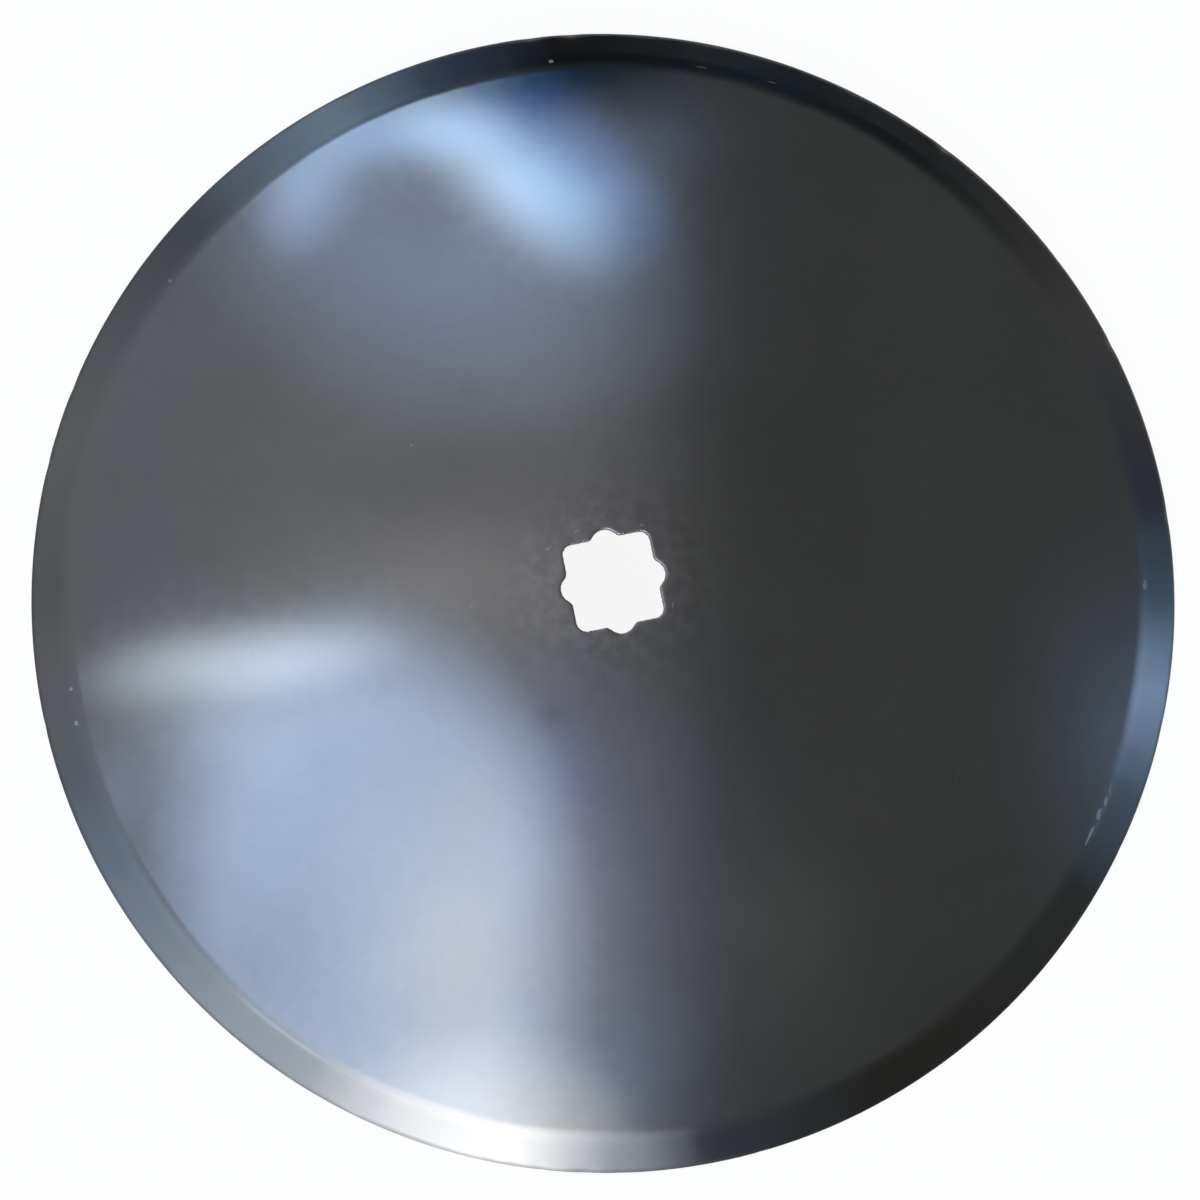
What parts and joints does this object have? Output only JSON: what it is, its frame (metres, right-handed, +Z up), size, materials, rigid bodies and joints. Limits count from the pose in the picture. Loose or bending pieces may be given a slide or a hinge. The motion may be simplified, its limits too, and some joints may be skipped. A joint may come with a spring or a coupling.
{
  "type": "harrow disc blade",
  "caption": "Round dished steel blade for a disc harrow, with a ground cutting edge and a star hole for a square axle.",
  "frame": {"origin": "on the ground under the middle of the star hole, in the plane that the rim rests on", "axes": "+Z up through the star hole, out of the dome's convex side; X and Y along the sides of the larger square of the star hole"},
  "size_m": [0.4572, 0.4572, 0.0604],
  "materials": {
    "blade_steel": "dark tempered steel under clear varnish, ground along its edge"
  },
  "bodies": {
    "root": {"disc_blade": "blade_steel"}
  },
  "joints": []
}
